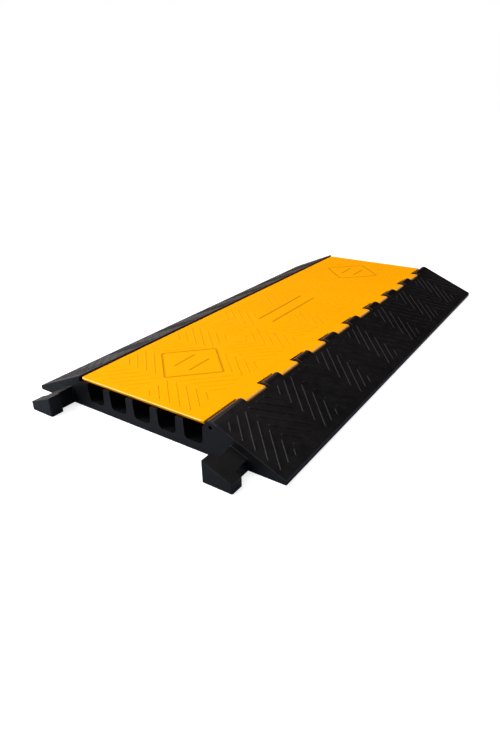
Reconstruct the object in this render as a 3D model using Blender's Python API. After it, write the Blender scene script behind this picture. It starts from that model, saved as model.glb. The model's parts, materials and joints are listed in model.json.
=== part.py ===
"""Five-channel cable protector ramp: black base, yellow hinged lid, hinge rod.

The scene is in metres, +Z up; sizes below are in millimetres.  The origin is
on the floor plane, under the middle of the base.  X runs across the ramps and
Y along the cables.  The hinge is on the +X side and the male couplings are at
the -Y end.  Left means -X and right means +X.
"""
import math

import bmesh
import bpy
from mathutils import Matrix, Vector

for old_object in list(bpy.data.objects):
    bpy.data.objects.remove(old_object, do_unlink=True)

# ----------------------------------------------------------------- dimensions
MM = 0.001

WIDTH = 500.0            # across both ramps
LENGTH = 912.0           # base body, without the male couplings
HALF_W = WIDTH / 2
HALF_L = LENGTH / 2
TOE = 7.0                # height of the blunt outer edge of each ramp

LID_TOP = 52.0
LID_THICK = 6.5
LID_UNDER = LID_TOP - LID_THICK
LID_LEFT = -137.5        # free edge
LID_RIGHT = 115.5        # edge beside the base's barrel
LID_END_INSET = 2.5      # lid stops this far short of each end face
LID_FREE_CORNER_R = 5.0
LID_HINGE_CORNER_R = 1.5
LID_SIDE_GAP = 2.5       # free edge to the recess wall
SEAT_GAP = 0.4           # lid underside to the ledges and dividers
SEAT = LID_UNDER - SEAT_GAP

LEFT_CREST_Z = 54.0
LEFT_CREST_FLAT = 2.5

CHANNEL_COUNT = 5
CHANNEL_FIRST_X = -103.5  # centre of the leftmost channel
CHANNEL_PITCH = 50.0
CHANNEL_FLOOR = 13.5
CHANNEL_TOP = 36.0       # width at the seat
CHANNEL_BOTTOM = 33.0    # width at the floor, before the corner radii
CHANNEL_R = 8.0

HINGE_X = 128.5
HINGE_Z = 47.0
HINGE_POINT = Vector((HINGE_X, 0.0, HINGE_Z)) * MM
BARREL_R = 10.5          # rounded ridge of the base around the hinge axis

KNUCKLE_COUNT = 8
KNUCKLE_START = -378.0   # -Y end of the first lid knuckle
KNUCKLE_LEN = 58.0
KNUCKLE_PITCH = 101.7
KNUCKLE_R = 5.5
KNUCKLE_ROOT = 4.0       # overlap of a knuckle into the lid plate

POCKET_R = 7.0
POCKET_LEFT = 113.0
POCKET_RIGHT = HINGE_X + 10.0
POCKET_FLOOR = SEAT - 1.0         # flat floor left of the round part
POCKET_WALL_FOOT = HINGE_Z + 2.0  # lower end of the upright right wall
POCKET_END_GAP = 1.2     # knuckle end to pocket end
POCKET_CUT_TOP = 70.0    # clear above the base

ROD_R = 3.0
ROD_LEN = 896.0
ROD_CHAMFER = 0.6
ROD_SIDES = 24           # also used for the bores
BORE_R = 3.35
BORE_END_WALL = 6.5      # closed end of the base bore at +Y
BORE_OVERRUN = 10.0      # base bore cutter beyond the -Y face

# T-shaped couplings; inner is towards the middle of the ramp in X.
LUG_INNER = 152.5
LUG_OUTER = 202.0
NECK_INNER = 162.0
NECK_OUTER = 190.5
LUG_REACH = 53.0
HEAD_LEN = 23.0
LUG_TOP_INNER = 34.0     # height of the coupling head at its inner side
LUG_TOP_SLOPE = 0.40     # fall per unit of X, outwards
LUG_CORNER_R = 2.5
LUG_EMBED = 6.0          # neck root inside the base body
SOCKET_CLEAR = 1.5
SOCKET_OVERRUN = 2.0     # socket cutter beyond the +Y face
SOCKET_CUT_BOTTOM = -5.0  # clear below the floor
COUPLING_BLANK_TOP = 60.0  # before the sloping top is cut

# Block that cuts the sloping top: clear of the coupling on its other sides.
WEDGE_INNER = 120.0
WEDGE_OUTER = 230.0
WEDGE_TOP = 90.0
WEDGE_BEFORE_FACE = 80.0  # extent towards -Y from the end face
WEDGE_AFTER_FACE = 20.0   # extent towards +Y from the end face

# ----------------------------------------------------------------- scene setup
model = bpy.data.collections.new("cable_protector_ramp")
cutters = bpy.data.collections.new("cutters")
for collection in (model, cutters):
    bpy.context.scene.collection.children.link(collection)


def material(name, rgb, roughness, metallic=0.0):
    mat = bpy.data.materials.new(name)
    mat.use_nodes = True
    shader = mat.node_tree.nodes["Principled BSDF"]
    shader.inputs["Base Color"].default_value = (*rgb, 1.0)
    shader.inputs["Roughness"].default_value = roughness
    shader.inputs["Metallic"].default_value = metallic
    mat.diffuse_color = (*rgb, 1.0)
    return mat


BLACK = material("black_rubber", rgb=(0.020, 0.021, 0.024), roughness=0.62)
YELLOW = material("yellow_polyurethane", rgb=(0.93, 0.47, 0.015), roughness=0.48)
STEEL = material("zinc_steel", rgb=(0.60, 0.60, 0.58), roughness=0.35, metallic=1.0)


# ----------------------------------------------------------------- outlines
def arc(centre_x, centre_y, radius, start_deg, end_deg, steps):
    """Points on a circle between two angles, both ends included."""
    angles = [math.radians(start_deg + (end_deg - start_deg) * i / steps)
              for i in range(steps + 1)]
    return [(centre_x + radius * math.cos(angle), centre_y + radius * math.sin(angle))
            for angle in angles]


def unit(x, y):
    length = math.hypot(x, y)
    return x / length, y / length


def rounded(corners, radii, steps):
    """Closed outline with each corner filleted by its own radius."""
    outline = []
    for i, ((x, y), radius) in enumerate(zip(corners, radii)):
        if radius == 0:
            outline.append((x, y))
            continue
        before = corners[i - 1]
        after = corners[(i + 1) % len(corners)]
        back_x, back_y = unit(before[0] - x, before[1] - y)
        on_x, on_y = unit(after[0] - x, after[1] - y)
        half_angle = math.acos(back_x * on_x + back_y * on_y) / 2
        setback = radius / math.tan(half_angle)
        mid_x, mid_y = unit(back_x + on_x, back_y + on_y)
        centre_x = x + mid_x * radius / math.sin(half_angle)
        centre_y = y + mid_y * radius / math.sin(half_angle)
        start = math.degrees(math.atan2(y + back_y * setback - centre_y,
                                        x + back_x * setback - centre_x))
        end = math.degrees(math.atan2(y + on_y * setback - centre_y,
                                      x + on_x * setback - centre_x))
        turn = (end - start + 180) % 360 - 180   # the short way round
        outline += arc(centre_x, centre_y, radius, start, start + turn, steps)
    return outline


def dip_deg(height, radius):
    """Angle below horizontal at which a circle on the hinge axis meets a height."""
    return math.degrees(math.asin((HINGE_Z - height) / radius))


# ----------------------------------------------------------------- solids
def slab(name, outline, low, high, axis):
    """Flat outline extruded along Y (outline in X, Z) or along Z (in X, Y)."""
    curve = bpy.data.curves.new(name + "_outline", "CURVE")
    curve.dimensions = "2D"
    curve.fill_mode = "BOTH"
    curve.extrude = (high - low) / 2 * MM
    spline = curve.splines.new("POLY")
    spline.points.add(len(outline) - 1)
    for point, (across, up) in zip(spline.points, outline):
        point.co = (across * MM, up * MM, 0.0, 1.0)
    spline.use_cyclic_u = True

    guide = bpy.data.objects.new(name + "_guide", curve)
    cutters.objects.link(guide)
    middle = (low + high) / 2 * MM
    if axis == "Y":
        guide.rotation_euler = (math.pi / 2, 0, 0)
        guide.location = (0, middle, 0)
    else:
        guide.location = (0, 0, middle)
    bpy.context.view_layer.update()
    depsgraph = bpy.context.evaluated_depsgraph_get()
    mesh = bpy.data.meshes.new_from_object(guide.evaluated_get(depsgraph))
    mesh.transform(guide.matrix_world)
    mesh.name = name
    bpy.data.objects.remove(guide, do_unlink=True)

    # The curve's caps and sides come unjoined; weld them into one solid.
    bm = bmesh.new()
    bm.from_mesh(mesh)
    bmesh.ops.remove_doubles(bm, verts=bm.verts, dist=0.00001)
    bmesh.ops.recalc_face_normals(bm, faces=bm.faces)
    bm.to_mesh(mesh)
    bm.free()
    return mesh


def rod(name, radius, low, high, chamfer=0.0):
    """Cylinder around the Y axis, with optional chamfered ends."""
    bm = bmesh.new()
    made = bmesh.ops.create_cone(
        bm, cap_ends=True, cap_tris=False, segments=ROD_SIDES,
        radius1=radius * MM, radius2=radius * MM, depth=(high - low) * MM)
    bmesh.ops.rotate(bm, verts=made["verts"], cent=(0, 0, 0),
                     matrix=Matrix.Rotation(math.pi / 2, 3, "X"))
    bmesh.ops.translate(bm, verts=made["verts"], vec=(0, (low + high) / 2 * MM, 0))
    if chamfer:
        rims = [edge for edge in bm.edges
                if abs(edge.verts[0].co.y - edge.verts[1].co.y) < 1e-7]
        bmesh.ops.bevel(bm, geom=rims, offset=chamfer * MM, segments=1, affect="EDGES")
    bmesh.ops.recalc_face_normals(bm, faces=bm.faces)
    mesh = bpy.data.meshes.new(name)
    bm.to_mesh(mesh)
    bm.free()
    return mesh


def add_object(name, mesh, mat, home):
    ob = bpy.data.objects.new(name, mesh)
    home.objects.link(ob)
    if mat:
        mesh.materials.append(mat)
    return ob


def add_part(name, mesh, mat):
    """Visible piece, smooth with sharp edges above 30 degrees."""
    mesh.shade_smooth()
    mesh.set_sharp_from_angle(angle=math.radians(30))
    return add_object(name, mesh, mat, model)


def add_helper(name, mesh, mat=None):
    """Hidden solid for a boolean."""
    ob = add_object(name, mesh, mat, cutters)
    ob.hide_render = True
    ob.display_type = "WIRE"
    return ob


def boolean(target, tool, operation):
    modifier = target.modifiers.new(operation.lower() + "_" + tool.name, "BOOLEAN")
    modifier.operation = operation
    modifier.solver = "EXACT"
    modifier.object = tool


def cut_bore(target, name, low, high):
    bore = add_helper(name, rod(name, BORE_R, low, high))
    bore.location = HINGE_POINT
    boolean(target, bore, "DIFFERENCE")


def knuckle_spans():
    """Number, -Y end and +Y end of each lid knuckle."""
    for i in range(KNUCKLE_COUNT):
        start = KNUCKLE_START + i * KNUCKLE_PITCH
        yield i + 1, start, start + KNUCKLE_LEN


# ----------------------------------------------------------------- base
def base_section():
    """Cross-section in X, Z, from the left toe over the top to the right toe."""
    recess_wall = LID_LEFT - LID_SIDE_GAP
    section = [(-HALF_W, 0.0), (-HALF_W, TOE),
               (recess_wall - LEFT_CREST_FLAT, LEFT_CREST_Z),
               (recess_wall, LEFT_CREST_Z), (recess_wall, SEAT)]
    for i in range(CHANNEL_COUNT):
        middle = CHANNEL_FIRST_X + CHANNEL_PITCH * i
        section += rounded([(middle - CHANNEL_TOP / 2, SEAT),
                            (middle - CHANNEL_BOTTOM / 2, CHANNEL_FLOOR),
                            (middle + CHANNEL_BOTTOM / 2, CHANNEL_FLOOR),
                            (middle + CHANNEL_TOP / 2, SEAT)],
                           [0, CHANNEL_R, CHANNEL_R, 0], steps=5)

    # The right ramp's surface runs from its toe tangent to the barrel.
    toe_dx, toe_dz = HALF_W - HINGE_X, TOE - HINGE_Z
    toe_distance = math.hypot(toe_dx, toe_dz)
    slope = math.atan2(toe_dz, toe_dx) - math.asin(BARREL_R / toe_distance)
    section += arc(HINGE_X, HINGE_Z, BARREL_R, 180.0 + dip_deg(SEAT, BARREL_R),
                   math.degrees(slope) + 90.0, steps=14)
    return section + [(HALF_W, TOE), (HALF_W, 0.0)]


def coupling_outline(side, face, clear, overlap):
    """Plan of a T that starts at an end face and points towards -Y."""
    inner, outer = LUG_INNER - clear, LUG_OUTER + clear
    neck_inner, neck_outer = NECK_INNER - clear, NECK_OUTER + clear
    root = face + overlap
    shoulder = face - (LUG_REACH - HEAD_LEN - clear)
    front = face - (LUG_REACH + clear)
    corners = [(neck_inner, root), (neck_inner, shoulder),
               (inner, shoulder), (inner, front), (outer, front), (outer, shoulder),
               (neck_outer, shoulder), (neck_outer, root)]
    radii = [0, 0] + [LUG_CORNER_R] * 4 + [0, 0]
    return [(side * x, y) for x, y in rounded(corners, radii, steps=3)]


def wedge_outline(side, lift):
    """Block above the sloping top of a coupling, in X, Z."""
    def top(x):
        return LUG_TOP_INNER + lift - LUG_TOP_SLOPE * (x - LUG_INNER)
    corners = [(WEDGE_INNER, top(WEDGE_INNER)), (WEDGE_OUTER, top(WEDGE_OUTER)),
               (WEDGE_OUTER, WEDGE_TOP), (WEDGE_INNER, WEDGE_TOP)]
    return [(side * x, z) for x, z in corners]


def add_couplings(base, kind, face, clear, overlap, bottom, mat, operation):
    """Left and right lugs, or the sockets that take the next ramp's lugs."""
    for side, word in ((-1, "left"), (1, "right")):
        name = f"{kind}_{word}"
        outline = coupling_outline(side, face, clear, overlap)
        tool = add_helper(name, slab(name, outline, bottom, COUPLING_BLANK_TOP, "Z"), mat)
        name = f"{kind}_wedge_{word}"
        wedge = add_helper(name, slab(name, wedge_outline(side, clear),
                                      face - WEDGE_BEFORE_FACE,
                                      face + WEDGE_AFTER_FACE, "Y"))
        boolean(tool, wedge, "DIFFERENCE")
        boolean(base, tool, operation)


def cut_pockets(base):
    """Pockets for the lid's knuckles, open at the top."""
    outline = [(POCKET_LEFT, POCKET_CUT_TOP), (POCKET_LEFT, POCKET_FLOOR)]
    outline += arc(HINGE_X, HINGE_Z, POCKET_R,
                   180.0 + dip_deg(POCKET_FLOOR, POCKET_R), 360.0, steps=12)
    outline += [(POCKET_RIGHT, POCKET_WALL_FOOT), (POCKET_RIGHT, POCKET_CUT_TOP)]
    for number, start, end in knuckle_spans():
        name = f"pocket_{number}"
        mesh = slab(name, outline, start - POCKET_END_GAP, end + POCKET_END_GAP, "Y")
        boolean(base, add_helper(name, mesh), "DIFFERENCE")


def build_base():
    base = add_part("base", slab("base", base_section(), -HALF_L, HALF_L, "Y"), BLACK)
    add_couplings(base, "lug", face=-HALF_L, clear=0.0, overlap=LUG_EMBED,
                  bottom=0.0, mat=BLACK, operation="UNION")
    add_couplings(base, "socket", face=HALF_L, clear=SOCKET_CLEAR,
                  overlap=SOCKET_OVERRUN, bottom=SOCKET_CUT_BOTTOM,
                  mat=None, operation="DIFFERENCE")
    cut_pockets(base)
    cut_bore(base, "base_bore", -HALF_L - BORE_OVERRUN, HALF_L - BORE_END_WALL)


# ----------------------------------------------------------------- lid
def build_lid():
    """Plate with knuckles, parented to an empty on the hinge axis."""
    half_length = HALF_L - LID_END_INSET
    plan = rounded([(LID_LEFT, -half_length), (LID_RIGHT, -half_length),
                    (LID_RIGHT, half_length), (LID_LEFT, half_length)],
                   [LID_FREE_CORNER_R, LID_HINGE_CORNER_R,
                    LID_HINGE_CORNER_R, LID_FREE_CORNER_R], steps=4)
    lid = add_part("lid", slab("lid", plan, LID_UNDER, LID_TOP, "Z"), YELLOW)

    root = LID_RIGHT - KNUCKLE_ROOT
    knuckle = [(root, LID_TOP)]
    knuckle += arc(HINGE_X, HINGE_Z, KNUCKLE_R, 90.0,
                   -180.0 + dip_deg(LID_UNDER, KNUCKLE_R), steps=16)
    knuckle += [(root, LID_UNDER)]
    for number, start, end in knuckle_spans():
        name = f"lid_knuckle_{number}"
        tool = add_helper(name, slab(name, knuckle, start, end, "Y"), YELLOW)
        boolean(lid, tool, "UNION")
    cut_bore(lid, "lid_bore", -HALF_L, HALF_L)

    # The lid's own origin sits on the hinge axis, so turning the empty opens it.
    hinge = add_object("lid_hinge", None, None, model)
    hinge.location = HINGE_POINT
    lid.data.transform(Matrix.Translation(-HINGE_POINT))
    lid.parent = hinge


# ----------------------------------------------------------------- hinge rod
def build_hinge_rod():
    mesh = rod("hinge_rod", ROD_R, -ROD_LEN / 2, ROD_LEN / 2, chamfer=ROD_CHAMFER)
    add_part("hinge_rod", mesh, STEEL).location = HINGE_POINT


build_base()
build_lid()
build_hinge_rod()
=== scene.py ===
"""Looks of the five-channel cable protector ramp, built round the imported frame.

The base and the lid are finished copies of their CAD solids: edges rounded as
they come out of a mould, raised tread bars on both ramps and on the lid, and
outlines and straight lines cut into the lid.  The hinge rod is the CAD solid.
Everything is in metres in the row frame: +Z up, cables along Y, hinge at +X.
Tread and engraving are laid out in plan in mm, and scaled by MM when built.
"""
import json
import math

import bmesh
import bpy
from mathutils import Matrix, Vector


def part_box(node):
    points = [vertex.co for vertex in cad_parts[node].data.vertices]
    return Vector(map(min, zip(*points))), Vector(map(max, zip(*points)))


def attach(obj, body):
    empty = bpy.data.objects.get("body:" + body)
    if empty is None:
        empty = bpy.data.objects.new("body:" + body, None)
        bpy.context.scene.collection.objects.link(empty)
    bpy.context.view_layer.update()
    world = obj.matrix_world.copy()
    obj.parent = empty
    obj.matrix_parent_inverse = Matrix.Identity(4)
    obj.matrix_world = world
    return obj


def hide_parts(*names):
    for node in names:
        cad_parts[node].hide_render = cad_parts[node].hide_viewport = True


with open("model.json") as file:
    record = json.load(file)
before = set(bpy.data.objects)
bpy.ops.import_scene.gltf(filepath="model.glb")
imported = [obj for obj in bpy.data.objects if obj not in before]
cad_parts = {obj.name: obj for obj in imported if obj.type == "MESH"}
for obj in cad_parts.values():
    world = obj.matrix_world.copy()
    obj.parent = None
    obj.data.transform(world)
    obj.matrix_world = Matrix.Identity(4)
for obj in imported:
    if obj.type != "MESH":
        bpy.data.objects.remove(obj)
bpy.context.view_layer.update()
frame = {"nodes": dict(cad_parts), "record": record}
scene = bpy.context.scene

MM = 0.001
UP = Vector((0, 0, 1))

# ------------------------------------------------------------ from the frame
_, base_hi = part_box("base")
lid_lo, lid_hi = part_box("lid")
hinge = frame["record"]["behaviour"]["joints"][0]
HINGE_X, HINGE_Z = hinge["pos_m"][0], hinge["pos_m"][2]     # axis along Y
HALF_WIDTH = base_hi.x
END_Y = base_hi.y                                # +Y end face
LID_LEFT = lid_lo.x                              # free edge, at -X
# Top of the lid's flat plate: its knuckles stand a little higher.
LID_TOP = max(v.co.z for v in frame["nodes"]["lid"].data.vertices
              if v.co.x < LID_LEFT + 0.02)


# ------------------------------------------------------------ mesh helpers
def add_object(name, mesh):
    ob = bpy.data.objects.new(name, mesh)
    scene.collection.objects.link(ob)
    return ob


def mesh_from(bm, name):
    """Turns the bmesh into a named mesh and frees it."""
    mesh = bpy.data.meshes.new(name)
    bm.to_mesh(mesh)
    bm.free()
    return mesh


def cad_copy(piece, name):
    """The CAD solid's mesh with its flat faces whole again."""
    bm = bmesh.new()
    bm.from_mesh(frame["nodes"][piece].data)
    bmesh.ops.remove_doubles(bm, verts=bm.verts, dist=0.000004)
    bmesh.ops.dissolve_limit(bm, angle_limit=math.radians(0.8),
                             verts=bm.verts, edges=bm.edges)
    bmesh.ops.recalc_face_normals(bm, faces=bm.faces)
    return add_object(name, mesh_from(bm, name))


def round_edges(ob, chosen, width, segments, min_angle):
    """Rounds edges sharper than min_angle whose middle chosen() accepts."""
    bm = bmesh.new()
    bm.from_mesh(ob.data)
    limit = math.radians(min_angle)
    edges = [e for e in bm.edges
             if len(e.link_faces) == 2 and e.calc_face_angle(0) > limit
             and chosen((e.verts[0].co + e.verts[1].co) / 2)]
    bmesh.ops.bevel(bm, geom=edges, offset=width, offset_type="OFFSET",
                    segments=segments, profile=0.5, affect="EDGES",
                    clamp_overlap=False, miter_outer="ARC")
    bm.to_mesh(ob.data)
    bm.free()


def skin(bm, rings, closed=False):
    """Joins rings of points with quads: an endless loop, or a capped bar."""
    rings = [[bm.verts.new(point) for point in ring] for ring in rings]
    followers = rings[1:] + rings[:1] if closed else rings[1:]
    count = len(rings[0])
    for ring, following in zip(rings, followers):
        for i in range(count):
            j = (i + 1) % count
            bm.faces.new((ring[i], ring[j], following[j], following[i]))
    if not closed:
        bm.faces.new(list(reversed(rings[0])))
        bm.faces.new(rings[-1])


def add_bar(bm, start, end, normal, width, height):
    """Raised moulded bar on a face: rounded across, tapered at both ends."""
    sink = 0.0008                   # how far the bar's foot is buried
    normal = normal.normalized()
    along = end - start
    length = along.length
    along.normalize()
    side = normal.cross(along)
    # Across the bar, in widths, and height above the face.
    profile = [(-0.50, -sink), (-0.50, 0.08 * height), (-0.40, 0.62 * height),
               (-0.20, 0.97 * height), (0.20, 0.97 * height),
               (0.40, 0.62 * height), (0.50, 0.08 * height), (0.50, -sink)]
    lead = min(width * 0.9, length * 0.3)
    # Distance from the start, share of the width, share of the height.
    stations = [(0.0, 0.45, 0.05), (lead * 0.35, 0.86, 0.62), (lead, 1.0, 1.0),
                (length - lead, 1.0, 1.0),
                (length - lead * 0.35, 0.86, 0.62), (length, 0.45, 0.05)]
    skin(bm, [[start + along * distance + side * (across * width * wide)
               + normal * (level if level < 0 else level * tall)
               for across, level in profile]
              for distance, wide, tall in stations])


def add_groove(bm, path, width, depth, closed=False):
    """Waste for an engraved line: a trapezoid swept along a path in plan."""
    above = 0.001                   # how far the waste stands over the face
    # Across the groove, in widths, and height from the face.
    profile = [(-0.50, above), (-0.50, 0.0), (-0.26, -0.85 * depth),
               (-0.14, -depth), (0.14, -depth), (0.26, -0.85 * depth),
               (0.50, 0.0), (0.50, above)]
    rings = []
    last = len(path) - 1
    for i, point in enumerate(path):
        before = point - path[i - 1] if closed or i else path[1] - point
        after = (path[(i + 1) % len(path)] - point if closed or i < last
                 else point - path[i - 1])
        side_before = UP.cross(before.normalized())
        side_after = UP.cross(after.normalized())
        mitre = (side_before + side_after).normalized()
        mitre = mitre / max(0.2, mitre.dot(side_before))
        rings.append([point + mitre * (across * width) + UP * level
                      for across, level in profile])
    skin(bm, rings, closed)


def combine(ob, tool_bm, name, operation="UNION"):
    """Fuses closed shapes into the object, or cuts them out of it."""
    bmesh.ops.recalc_face_normals(tool_bm, faces=tool_bm.faces)
    tool = add_object(name, mesh_from(tool_bm, name))
    mod = ob.modifiers.new("fuse", "BOOLEAN")
    mod.operation = operation
    mod.solver = "EXACT"
    mod.object = tool
    bpy.context.view_layer.update()
    depsgraph = bpy.context.evaluated_depsgraph_get()
    fused = bpy.data.meshes.new_from_object(ob.evaluated_get(depsgraph))
    ob.modifiers.clear()
    ob.data = fused
    bpy.data.objects.remove(tool, do_unlink=True)


def tidy(ob):
    """Collapses hair-thin leftovers of the cuts and closes pinholes."""
    bm = bmesh.new()
    bm.from_mesh(ob.data)
    bmesh.ops.dissolve_degenerate(bm, dist=0.0000001, edges=bm.edges)
    rims = [e for e in bm.edges if len(e.link_faces) == 1]
    if rims:
        bmesh.ops.holes_fill(bm, edges=rims, sides=8)
    bmesh.ops.recalc_face_normals(bm, faces=bm.faces)
    bm.to_mesh(ob.data)
    bm.free()


def finish_shading(ob):
    ob.data.shade_smooth()
    ob.data.set_sharp_from_angle(angle=math.radians(38.0))
    mod = ob.modifiers.new("weighted_normals", "WEIGHTED_NORMAL")
    mod.keep_sharp = True
    mod.weight = 100


# ------------------------------------------------------------ tread pattern
# All in mm.  Bands follow each other along Y, their bars slanting in turn.
BAND_STEP = 130.0            # from one band to the next of the same slant
BAR_STEP = 20.0              # from bar to bar, as a step of x + y or y - x
SHORTEST_BAR = 11.0
NARROWEST_BAND = 15.0
PLAN_STEP = 0.5              # sampling step along X


def hatch(x_range, centre, half, limit, falling, phase, keep_out=()):
    """Bars at 45 degrees in plan that fill a band centre +- half along Y.

    Falling bars run towards +X and -Y, rising ones towards +X and +Y.  phase
    is x + y (falling) or y - x (rising) on one of the bars.  limit is the
    greatest distance of the tread from y = 0.  keep_out holds functions of
    (x, y) that are true where the face stays plain.
    """
    x0, x1 = x_range
    y0, y1 = max(centre - half, -limit), min(centre + half, limit)
    if y1 - y0 <= NARROWEST_BAND:
        return []
    sums = [(x + y) if falling else (y - x)
            for x in (x0, x1) for y in (y0, y1)]
    first = math.ceil((min(sums) - phase) / BAR_STEP)
    last = math.floor((max(sums) - phase) / BAR_STEP)
    steps = int((x1 - x0) / PLAN_STEP)
    bars = []
    for k in range(first, last + 1):
        value = phase + k * BAR_STEP
        run = []
        for i in range(steps + 1):
            x = x0 + PLAN_STEP * i
            y = value - x if falling else value + x
            good = y0 <= y <= y1 and not any(test(x, y) for test in keep_out)
            if good:
                run.append((x, y))
            if run and (not good or i == steps):
                start, end = run[0], run[-1]
                if math.hypot(end[0] - start[0],
                              end[1] - start[1]) >= SHORTEST_BAR:
                    bars.append((start, end))
                run = []
    return bars


# ------------------------------------------------------------ base edges
TOUCH = 0.0005               # an edge this close to a plane lies on it
BORE_CLEAR = 0.0045          # radius round the axis that holds the bore's rims


def near_hinge(mid):
    return abs(mid.x - HINGE_X) < 0.0165 and mid.z > 0.034


def channel_mouth(mid):
    """Rims of the channel openings in the two end faces."""
    return (abs(abs(mid.y) - END_Y) < TOUCH
            and LID_LEFT < mid.x < HINGE_X - 0.012 and mid.z > 0.008)


def outer_edge(mid):
    """Long outer edges and the end faces' outlines, away from the hinge."""
    return mid.z > TOUCH and not near_hinge(mid) and not channel_mouth(mid)


def hinge_edge(mid):
    """Edges of the knuckles and the pockets between them, not of the bore."""
    return (near_hinge(mid) and abs(mid.y) < END_Y - TOUCH
            and math.hypot(mid.x - HINGE_X, mid.z - HINGE_Z) > BORE_CLEAR)


base = cad_copy("base", "base_moulding")
round_edges(base, outer_edge, width=1.1 * MM, segments=3, min_angle=35)
round_edges(base, hinge_edge, width=0.45 * MM, segments=2, min_angle=50)

# ------------------------------------------------------------ ramp tread
TOE_Z = 0.007                # height of the blunt toes
CREST_X, CREST_Z = LID_LEFT - 0.005, 0.054       # top of the -X ramp

# Slope of the +X ramp: tangent to the hinge barrel, down to the toe.
barrel_radius = base_hi.z - HINGE_Z
toe_dx, toe_dz = HALF_WIDTH - HINGE_X, TOE_Z - HINGE_Z
right_angle = (math.atan2(toe_dz, toe_dx)
               - math.asin(barrel_radius / math.hypot(toe_dx, toe_dz)))
left_slope = (CREST_Z - TOE_Z) / (CREST_X + HALF_WIDTH)

# Side along X, rise per metre of +X, outward normal.
RAMPS = (
    (1, math.tan(right_angle),
     Vector((-math.sin(right_angle), 0, math.cos(right_angle)))),
    (-1, left_slope, Vector((-left_slope, 0, 1)).normalized()),
)
RAMP_X = (145.0, 237.0)      # tread on a ramp, in mm from the middle
RAMP_LIMIT = 447.0           # its greatest Y, in mm
# Shift of the band along Y, half its length, falling, and the phase of its
# bars as a factor of the band's centre and an offset.
RAMP_BANDS = (
    (0.0, 27.0, True, 0.990, 130.6),
    (-65.0, 32.5, False, 0.983, -180.4),
)


def ramp_point(x, y, side, slope):
    """Point on a ramp's face; x is in mm from the middle."""
    x *= side * MM
    return Vector((x, y * MM, TOE_Z + (x - side * HALF_WIDTH) * slope))


def add_ramp_tread():
    tool = bmesh.new()
    for k in range(-2, 7):
        for shift, half, falling, factor, offset in RAMP_BANDS:
            centre = -294.0 + BAND_STEP * k + shift
            for start, end in hatch(RAMP_X, centre, half, RAMP_LIMIT, falling,
                                    phase=factor * centre + offset):
                for side, slope, normal in RAMPS:
                    add_bar(tool, ramp_point(*start, side, slope),
                            ramp_point(*end, side, slope), normal,
                            width=3.8 * MM, height=1.0 * MM)
    combine(base, tool, "ramp_tread")


add_ramp_tread()
tidy(base)
finish_shading(base)

# ------------------------------------------------------------ lid edges
LIP = 0.0022                 # thickness of the lip left above the undercut
UNDERCUT = 0.0034            # how far the undercut reaches in
SLOPE_FOOT = 0.0070          # depth where its slope meets the wall
UNDERCUT_FOOT = 0.0120       # depth of its lower end
OVERSHOOT = 0.01             # how far the waste stands outside the lid


def cut_below_lip(point, run, inward, name):
    """Cuts under the lip: point is on the edge, run is half the cut."""
    outward = -inward
    profile = [(outward * OVERSHOOT, -LIP), (inward * 0.0, -LIP),
               (inward * UNDERCUT, -SLOPE_FOOT),
               (inward * UNDERCUT, -UNDERCUT_FOOT),
               (outward * OVERSHOOT, -UNDERCUT_FOOT)]
    bm = bmesh.new()
    skin(bm, [[point + side + offset + Vector((0, 0, z))
               for offset, z in profile] for side in (-run, run)])
    combine(lid, bm, name, "DIFFERENCE")


def lid_top_rim(mid):
    return abs(mid.x - HINGE_X) > 0.0115 and mid.z > LID_TOP - TOUCH


lid = cad_copy("lid", "lid_moulding")
for sign in (-1, 1):
    cut_below_lip(Vector((0, sign * lid_hi.y, LID_TOP)),
                  run=Vector((0.30, 0, 0)), inward=Vector((0, -sign, 0)),
                  name="end_waste")
cut_below_lip(Vector((LID_LEFT, 0, LID_TOP)), run=Vector((0, 0.60, 0)),
              inward=Vector((1, 0, 0)), name="side_waste")
round_edges(lid, lid_top_rim, width=1.2 * MM, segments=3, min_angle=40)

# ------------------------------------------------------------ lid pattern
# All in mm.
MIDDLE = -21.0               # X of the diamond outlines' centres
DIAMONDS = (-313.0, 336.0)   # Y of their centres
DIAMOND_HALF = 68.0          # from centre to corner
STROKE_X, STROKE_HALF = 16.0, 27.0   # the two strokes inside each diamond
LINES = (-37.5, -5.5)        # X of the two long lines between the diamonds
LINE_ENDS = (-79.0, 95.0)    # their ends along Y
DIAMOND_MARGIN, LINE_MARGIN = 11.0, 10.0     # plain face kept round each
LID_RIGHT_X, LID_LEFT_X = (-14.0, 84.0), (-126.0, -30.0)     # tread columns
LID_LIMIT = 443.0            # greatest Y of the tread
# Shift of the band along Y, half its length, whether its +X column falls
# (the -X column slants the other way), phases of the +X and -X columns less
# the band's centre.
LID_BANDS = (
    (0.0, 28.0, True, 12.0, 56.0),
    (65.0, 32.0, False, -35.0, -76.5),
)


def lid_point(x, y):
    return Vector((x * MM, y * MM, LID_TOP))


def by_diamond(x, y):
    return any(abs(x - MIDDLE) + abs(y - centre)
               < DIAMOND_HALF + DIAMOND_MARGIN for centre in DIAMONDS)


def by_lines(x, y):
    return (LINES[0] - LINE_MARGIN < x < LINES[1] + LINE_MARGIN
            and LINE_ENDS[0] - LINE_MARGIN < y < LINE_ENDS[1] + LINE_MARGIN)


def add_lid_tread():
    tool = bmesh.new()
    for k in range(-1, 8):
        for shift, half, falling, right_phase, left_phase in LID_BANDS:
            centre = -413.0 + BAND_STEP * k + shift
            for x_range, falls, phase in (
                    (LID_RIGHT_X, falling, right_phase),
                    (LID_LEFT_X, not falling, left_phase)):
                for start, end in hatch(x_range, centre, half, LID_LIMIT,
                                        falls, centre + phase,
                                        keep_out=(by_diamond, by_lines)):
                    add_bar(tool, lid_point(*start), lid_point(*end), UP,
                            width=3.6 * MM, height=0.5 * MM)
    combine(lid, tool, "lid_tread")


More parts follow.
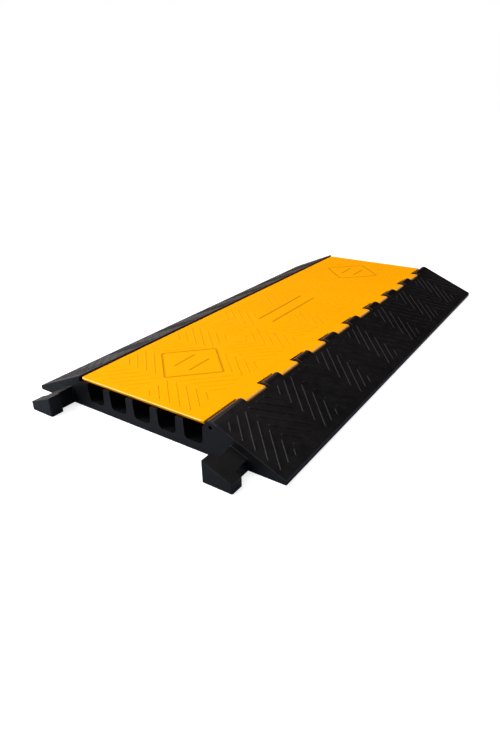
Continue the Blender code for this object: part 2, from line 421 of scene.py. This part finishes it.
def rounded_corners(points, radius, steps=4):
    """Closed outline with each corner swept round by a quadratic curve."""
    outline = []
    for i, corner in enumerate(points):
        before, after = points[i - 1], points[(i + 1) % len(points)]
        start = corner + (before - corner).normalized() * radius
        end = corner + (after - corner).normalized() * radius
        for k in range(steps + 1):
            t = k / steps
            outline.append(start * (1 - t) ** 2 + corner * (2 * t * (1 - t))
                           + end * t ** 2)
    return outline


def cut_lid_lines():
    """Engraves the diamonds with their strokes, and the two long lines."""
    tool = bmesh.new()
    for centre in DIAMONDS:
        corners = [lid_point(MIDDLE - DIAMOND_HALF, centre),
                   lid_point(MIDDLE, centre - DIAMOND_HALF),
                   lid_point(MIDDLE + DIAMOND_HALF, centre),
                   lid_point(MIDDLE, centre + DIAMOND_HALF)]
        add_groove(tool, rounded_corners(corners, radius=4.0 * MM),
                   width=5.0 * MM, depth=0.8 * MM, closed=True)
        for x in (MIDDLE - STROKE_X, MIDDLE + STROKE_X):
            add_groove(tool, [lid_point(x, centre - STROKE_HALF),
                              lid_point(x, centre + STROKE_HALF)],
                       width=4.4 * MM, depth=0.7 * MM)
    for x in LINES:
        add_groove(tool, [lid_point(x, y) for y in LINE_ENDS],
                   width=5.2 * MM, depth=0.9 * MM)
    combine(lid, tool, "lid_lines", "DIFFERENCE")


add_lid_tread()
cut_lid_lines()
tidy(lid)
finish_shading(lid)


# ------------------------------------------------------------ shader helpers
class ShaderTree:
    """Adds nodes to one tree; an input is an output socket or a fixed value."""

    def __init__(self, owner):
        owner.use_nodes = True
        self.nodes = owner.node_tree.nodes
        self.links = owner.node_tree.links

    def feed(self, socket, value):
        if isinstance(value, bpy.types.NodeSocket):
            self.links.new(value, socket)
        elif socket.type == "RGBA":
            socket.default_value = (*value, 1.0)
        else:
            socket.default_value = value

    def feed_all(self, node, inputs):
        for key, value in inputs.items():
            self.feed(node.inputs[key], value)

    def add(self, kind, inputs=None, **settings):
        node = self.nodes.new("ShaderNode" + kind)
        for key, value in settings.items():
            setattr(node, key, value)
        self.feed_all(node, inputs or {})
        return node

    def noise(self, position, scale, detail=4.0, rough=0.55):
        return self.add("TexNoise", {
            "Scale": scale, "Detail": detail, "Roughness": rough,
            "Vector": position}).outputs["Fac"]

    def ramp(self, value, stops):
        """Colour ramp; a stop is (position, colour)."""
        node = self.add("ValToRGB", {"Fac": value})
        elements = node.color_ramp.elements
        while len(elements) > 1:
            elements.remove(elements[-1])
        for i, (position, colour) in enumerate(stops):
            stop = elements[0] if i == 0 else elements.new(position)
            stop.position = position
            stop.color = (*colour, 1.0)
        return node.outputs["Color"]

    def mapped(self, value, between, to=(0.0, 1.0)):
        """Maps one range of the value onto another, clamped at both ends."""
        return self.add("MapRange", {
            "From Min": between[0], "From Max": between[1],
            "To Min": to[0], "To Max": to[1],
            "Value": value}).outputs["Result"]

    def mix(self, factor, first, second):
        node = self.add("Mix", data_type="RGBA")
        sockets = [socket for socket in node.inputs if socket.enabled]
        for socket, value in zip(sockets, (factor, first, second)):
            self.feed(socket, value)
        return [socket for socket in node.outputs if socket.enabled][0]

    def math(self, operation, *values):
        return self.add("Math", dict(enumerate(values)),
                        operation=operation).outputs[0]

    def times(self, first, second):
        return self.math("MULTIPLY", first, second)

    def dot(self, first, second):
        return self.add("VectorMath", {0: first, 1: second},
                        operation="DOT_PRODUCT").outputs["Value"]

    def split(self, vector):
        return self.add("SeparateXYZ", {0: vector}).outputs

    def edge_mask(self, radius):
        """1 along outside and inside edges, 0 on the flats."""
        bevel = self.add("Bevel", {"Radius": radius}, samples=4)
        geometry = self.add("NewGeometry")
        alike = self.dot(bevel.outputs["Normal"], geometry.outputs["Normal"])
        return self.mapped(alike, between=(0.995, 0.85))

    def bump(self, height, strength, distance, normal=None):
        inputs = {"Strength": strength, "Distance": distance, "Height": height}
        if normal is not None:
            inputs["Normal"] = normal
        return self.add("Bump", inputs).outputs["Normal"]

    def camera_switch(self, seen, unseen):
        """Shader seen by the camera itself, and one for all other rays."""
        path = self.add("LightPath")
        return self.add("MixShader", {
            0: path.outputs["Is Camera Ray"], 1: unseen.outputs[0],
            2: seen.outputs[0]}).outputs[0]


def new_material(name):
    material = bpy.data.materials.new(name)
    tree = ShaderTree(material)
    return material, tree, tree.nodes["Principled BSDF"]


def paint(ob, material):
    ob.data.materials.clear()
    ob.data.materials.append(material)


# ------------------------------------------------------------ black rubber
RUBBER_TONES = [(0.30, (0.0018, 0.0016, 0.0021)),
                (0.70, (0.0034, 0.0031, 0.0040))]
RUBBER_SCUFF = (0.030, 0.031, 0.034)
RUBBER_DUST = (0.090, 0.076, 0.064)


def rubber_material():
    material, tree, bsdf = new_material("moulded_rubber")
    position = tree.add("TexCoord").outputs["Object"]
    broad = tree.noise(position, scale=7.0, detail=5.0)
    middle = tree.noise(position, scale=70.0, rough=0.6)
    grain = tree.noise(position, scale=900.0, detail=2.0, rough=0.6)
    pits = tree.add("TexVoronoi", {"Scale": 420.0, "Vector": position},
                    feature="F1")
    tone = tree.mix(0.45, broad, middle)
    colour = tree.ramp(tone, RUBBER_TONES)
    # Scuffed, greyer edges and tops of the tread bars.
    worn = tree.times(tree.edge_mask(radius=0.0020),
                      tree.mapped(middle, between=(0.38, 0.72), to=(0.0, 0.80)))
    colour = tree.mix(worn, colour, RUBBER_SCUFF)
    # Fine pale dust on what faces up.
    facing = tree.split(tree.add("NewGeometry").outputs["Normal"])
    dust = tree.times(tree.mapped(facing["Z"], between=(0.55, 0.95)),
                      tree.mapped(broad, between=(0.42, 0.70), to=(0.0, 0.03)))
    colour = tree.mix(dust, colour, RUBBER_DUST)
    # The hinge crest stands highest and is polished by use.
    crest = tree.mapped(tree.split(position)["Z"], between=(0.0528, 0.0550))
    roughness = tree.times(
        tree.mapped(middle, between=(0.3, 0.7), to=(0.36, 0.50)),
        tree.mapped(crest, between=(0.0, 1.0), to=(1.0, 0.62)))
    specular = tree.mapped(crest, between=(0.0, 1.0), to=(0.225, 0.50))
    fine = tree.bump(grain, strength=0.30, distance=0.00030)
    fine = tree.bump(pits.outputs["Distance"], strength=0.10, distance=0.0004,
                     normal=fine)
    tree.feed_all(bsdf, {
        "Base Color": colour,
        "Roughness": roughness,
        "Specular IOR Level": specular,
        "Normal": tree.bump(middle, strength=0.15, distance=0.0010,
                            normal=fine)})
    return material


# ------------------------------------------------------------ yellow lid
LID_TONES = [(0.32, (0.890, 0.336, 0.0002)), (0.68, (0.935, 0.360, 0.0005))]
# Painted shade in recesses and at the feet of raised shapes.
LID_HOLLOW_SHADE = (0.420, 0.150, 0.002)
LID_WORN = (1.0, 0.46, 0.04)
# Painted highlight and painted shade for the knuckles' noses.
KNUCKLE_HIGHLIGHT = (1.0, 0.66, 0.24)
KNUCKLE_SHADE = (0.480, 0.080, 0.004)
# Painted shade on the tread flanks.
TREAD_FLANK_SHADE = (0.500, 0.228, 0.001)
# Painted shade in the cut lines.
LINE_SHADE = (0.440, 0.200, 0.001)
# Painted highlight along the rim.
RIM_HIGHLIGHT = (1.0, 0.72, 0.26)
RIM_WIDTH = 0.0022


def paint_knuckle_light_and_shade(tree, colour, x, facing):
    """Painted highlight, pale, on the +X shoulder; painted shade, deeper orange,
    below.
    """
    outward = tree.mapped(facing["X"], between=(0.10, 0.35), to=(0.0, 0.60))
    pale = tree.times(outward, tree.mapped(facing["Z"], between=(0.60, 0.82)))
    past_axis = (HINGE_X, HINGE_X + 0.002)
    pale = tree.times(pale, tree.mapped(x, between=past_axis))
    # Painted highlight where the shoulder faces up and out.
    colour = tree.mix(pale, colour, KNUCKLE_HIGHLIGHT)
    # Painted shade where the nose turns under.
    under = tree.times(
        tree.mapped(facing["Z"], between=(0.72, 0.30), to=(0.0, 0.85)),
        tree.mapped(x, between=past_axis))
    return tree.mix(under, colour, KNUCKLE_SHADE)


def shade_tread_flanks(tree, colour, z, facing, steep):
    """Painted shade on the flanks of the raised tread, more on falling bars."""
    above = tree.mapped(z, between=(LID_TOP + 0.00001, LID_TOP + 0.00006))
    slant = tree.times(facing["X"], facing["Y"])
    above = tree.times(above, tree.mapped(slant, between=(-0.02, 0.02),
                                          to=(0.35, 1.0)))
    return tree.mix(tree.times(above, steep), colour, TREAD_FLANK_SHADE)


def shade_lines_and_light_rim(tree, colour, place, facing, middle):
    """Painted shade in the cut lines; a painted highlight, a paler rim, on the
    ends and the free edge.
    """
    x, y, z = (place[axis] for axis in "XYZ")
    below = tree.mapped(z, between=(LID_TOP - 0.00003, LID_TOP - 0.00020))
    away = tree.math(
        "MAXIMUM", tree.math("SUBTRACT", LID_LEFT + RIM_WIDTH, x),
        tree.math("SUBTRACT", tree.math("ABSOLUTE", y), lid_hi.y - RIM_WIDTH))
    outer = tree.mapped(away, between=(-0.0001, 0.0001))
    inner = tree.times(below, tree.math("SUBTRACT", 1.0, outer))
    inner = tree.times(inner, tree.mapped(facing["Z"], between=(0.02, 0.10),
                                          to=(0.0, 0.72)))
    inner = tree.times(inner, tree.mapped(x, between=(0.100, 0.104),
                                          to=(1.0, 0.0)))
    # Painted shade in the cut lines.
    colour = tree.mix(inner, colour, LINE_SHADE)
    # Painted highlight: a paler rim along the ends and the free edge.
    rim = tree.times(tree.times(below, outer),
                     tree.mapped(facing["Z"], between=(0.10, 0.35)))
    # The painted highlight on the rim is wider at the +Y end.
    rim = tree.math("MAXIMUM", rim, tree.mapped(
        y, between=(lid_hi.y - 0.0060, lid_hi.y - 0.0030), to=(0.0, 0.75)))
    rim = tree.times(rim, tree.mapped(middle, between=(0.3, 0.7),
                                      to=(0.6, 1.0)))
    rim = tree.times(rim, tree.mapped(x, between=(0.108, 0.112),
                                      to=(1.0, 0.0)))
    return tree.mix(rim, colour, RIM_HIGHLIGHT)


def lid_material():
    material, tree, bsdf = new_material("moulded_polyurethane")
    position = tree.add("TexCoord").outputs["Object"]
    broad = tree.noise(position, scale=6.0, detail=5.0)
    middle = tree.noise(position, scale=55.0, rough=0.6)
    grain = tree.noise(position, scale=800.0, detail=2.0, rough=0.6)
    tone = tree.mix(0.35, broad, middle)
    colour = tree.ramp(tone, LID_TONES)
    # Painted shade: darker where ambient occlusion finds surfaces close by.
    occlusion = tree.add("AmbientOcclusion", {"Distance": 0.006}, samples=6)
    hollow_shade = tree.mapped(occlusion.outputs["AO"], between=(0.45, 0.90),
                         to=(0.22, 0.0))
    colour = tree.mix(hollow_shade, colour, LID_HOLLOW_SHADE)
    worn = tree.times(tree.edge_mask(radius=0.0016),
                      tree.mapped(middle, between=(0.40, 0.72), to=(0.0, 0.30)))
    colour = tree.mix(worn, colour, LID_WORN)
    place = tree.split(position)
    facing = tree.split(tree.add("TexCoord").outputs["Normal"])
    steep = tree.mapped(facing["Z"], between=(0.985, 0.90))
    colour = paint_knuckle_light_and_shade(tree, colour, place["X"], facing)
    colour = shade_tread_flanks(tree, colour, place["Z"], facing, steep)
    colour = shade_lines_and_light_rim(tree, colour, place, facing, middle)
    roughness = tree.mapped(middle, between=(0.3, 0.7), to=(0.42, 0.56))
    fine = tree.bump(grain, strength=0.20, distance=0.0003)
    tree.feed_all(bsdf, {
        "Base Color": colour,
        "Roughness": roughness,
        "Specular IOR Level": 0.015,
        "Specular Tint": (1.0, 0.62, 0.08),
        "Normal": tree.bump(middle, strength=0.08, distance=0.001,
                            normal=fine)})
    return material


# ------------------------------------------------------------ hinge rod steel
STEEL_TONES = [(0.35, (0.42, 0.41, 0.38)), (0.65, (0.62, 0.62, 0.60))]
RUST = (0.16, 0.075, 0.035)


def steel_material():
    material, tree, bsdf = new_material("zinc_plated_steel")
    position = tree.add("TexCoord").outputs["Object"]
    # Fine streaks drawn out along the rod.
    stretch = tree.add("Mapping", {"Scale": (900.0, 30.0, 900.0),
                                   "Vector": position})
    drawn = tree.noise(stretch.outputs["Vector"], scale=1.0, detail=3.0)
    blotch = tree.noise(position, scale=60.0)
    colour = tree.ramp(blotch, STEEL_TONES)
    rust = tree.mapped(tree.noise(position, scale=140.0, detail=5.0, rough=0.7),
                       between=(0.60, 0.72), to=(0.0, 0.55))
    tree.feed_all(bsdf, {
        "Base Color": tree.mix(rust, colour, RUST),
        "Roughness": tree.mapped(drawn, between=(0.3, 0.7), to=(0.28, 0.5)),
        "Metallic": tree.math("SUBTRACT", 1.0, rust),
        "Normal": tree.bump(drawn, strength=0.12, distance=0.0002)})
    return material


paint(base, rubber_material())
paint(lid, lid_material())
steel = steel_material()
for slot in frame["nodes"]["hinge_rod"].material_slots:
    slot.material = steel

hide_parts("base")
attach(base, "base_body")
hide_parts("lid")
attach(lid, "lid_body")

# ------------------------------------------------------------ floor
BEYOND = (-0.72, 0.69, 0.0)  # level heading from the middle to the warm patch
FLOOR_DIFFUSE = [(0.0, (0.27, 0.315, 0.38)), (1.0, (0.18, 0.125, 0.105))]
FLOOR_GLOW = [(0.0, (0.0, 0.0, 0.0)), (0.16, (0.58, 0.42, 0.37)),
              (0.40, (0.46, 0.29, 0.24)), (1.0, (0.20, 0.10, 0.075))]


def floor_material():
    """Pale to the camera; to other rays a cool grey with a warm patch."""
    material, tree, bsdf = new_material("pale_floor")
    tree.feed_all(bsdf, {
        "Base Color": (0.62, 0.62, 0.62),
        "Roughness": 0.9,
        "Specular IOR Level": 0.1,
        "Emission Color": (1, 1, 1),
        "Emission Strength": 0.66})
    where = tree.add("NewGeometry").outputs["Position"]
    beyond = tree.dot(where, BEYOND)
    diffuse = tree.add("BsdfDiffuse", {"Color": tree.ramp(
        tree.mapped(beyond, between=(0.30, 0.75)), FLOOR_DIFFUSE)})
    glow = tree.add("Emission", {"Strength": 1.0, "Color": tree.ramp(
        tree.mapped(beyond, between=(0.40, 3.60)), FLOOR_GLOW)})
    both = tree.add("AddShader", {0: diffuse.outputs[0], 1: glow.outputs[0]})
    tree.feed(tree.nodes["Material Output"].inputs["Surface"],
              tree.camera_switch(seen=bsdf, unseen=both))
    return material


bm = bmesh.new()
bmesh.ops.create_grid(bm, x_segments=1, y_segments=1, size=30.0)
floor = add_object("floor", mesh_from(bm, "floor"))
paint(floor, floor_material())
floor.location.z = -0.0004

# ------------------------------------------------------------ surround
# Stops from -Y to +Y.
WORLD_TINTS = [(0.0, (0.88, 0.94, 1.0)), (0.45, (1.0, 0.98, 0.95)),
               (0.80, (1.0, 0.82, 0.77)), (1.0, (1.0, 0.60, 0.52))]


def build_world():
    """White to the camera; to other rays a studio with a bright side.

    It is brightest high towards -X and -Y and warm towards +Y, with a low
    band at the -X +Y horizon.
    """
    world = bpy.data.worlds.new("studio")
    scene.world = world
    tree = ShaderTree(world)
    tree.nodes.clear()
    heading = tree.add("TexCoord").outputs["Generated"]

    def towards(*direction):
        return tree.dot(heading, Vector(direction).normalized())

    tint = tree.ramp(tree.mapped(towards(0, 1, 0), between=(-0.7, 0.9)),
                     WORLD_TINTS)
    main = tree.mapped(towards(-0.64, -0.54, 0.55), between=(-0.02, 0.90),
                       to=(0.02, 1.45))
    band = tree.times(
        tree.mapped(towards(*BEYOND), between=(0.80, 0.98), to=(0.0, 0.50)),
        tree.mapped(towards(0, 0, 1), between=(0.08, 0.34), to=(1.0, 0.0)))
    walls = tree.add("Background", {"Color": tint,
                                    "Strength": tree.math("ADD", main, band)})
    white = tree.add("Background", {"Color": (1, 1, 1)})
    tree.add("OutputWorld",
             {"Surface": tree.camera_switch(seen=white, unseen=walls)})


build_world()


# ------------------------------------------------------------ lights
def area(name, location, target, size, power, colour):
    data = bpy.data.lights.new(name, "AREA")
    data.shape = "RECTANGLE"
    data.size, data.size_y = size
    data.energy = power
    data.color = colour
    light = add_object(name, data)
    light.location = location
    light.rotation_euler = (Vector(target) - Vector(location)).to_track_quat(
        "-Z", "Y").to_euler()


area("key", location=(-1.20, -1.35, 1.15), target=(0, -0.1, 0),
     size=(1.0, 1.0), power=38.0, colour=(1.0, 0.985, 0.96))
area("overhead", location=(-0.3, 0.2, 2.4), target=(0, 0, 0),
     size=(1.8, 1.8), power=10.5, colour=(0.96, 0.98, 1.0))
area("fill", location=(1.80, 1.05, 0.52), target=(0, 0.1, 0),
     size=(1.0, 0.7), power=8.0, colour=(0.98, 0.99, 1.0))

# ------------------------------------------------------------ camera
AZIMUTH = math.radians(34.47)        # from -Y towards +X
ELEVATION = math.radians(26.603)
ROLL = math.radians(-1.054)
DISTANCE = 0.982986
TARGET = Vector((0.031084, -0.215523, 0.0))


def build_camera():
    back = Vector((math.sin(AZIMUTH) * math.cos(ELEVATION),
                   -math.cos(AZIMUTH) * math.cos(ELEVATION),
                   math.sin(ELEVATION)))
    right = (-back).cross(UP).normalized()
    upward = right.cross(-back)
    right, upward = (right * math.cos(ROLL) + upward * math.sin(ROLL),
                     upward * math.cos(ROLL) - right * math.sin(ROLL))
    data = bpy.data.cameras.new("camera")
    data.sensor_fit = "AUTO"
    data.sensor_width = 36.0
    data.lens = 25.779
    data.clip_start, data.clip_end = 0.02, 200.0
    camera = add_object("camera", data)
    turn = Matrix((right, upward, back)).transposed().to_4x4()
    camera.matrix_world = Matrix.Translation(TARGET + back * DISTANCE) @ turn
    scene.camera = camera


build_camera()
scene.view_settings.view_transform = "Standard"
scene.view_settings.look = "None"
scene.view_settings.exposure = 0.0
scene.view_settings.gamma = 1.0
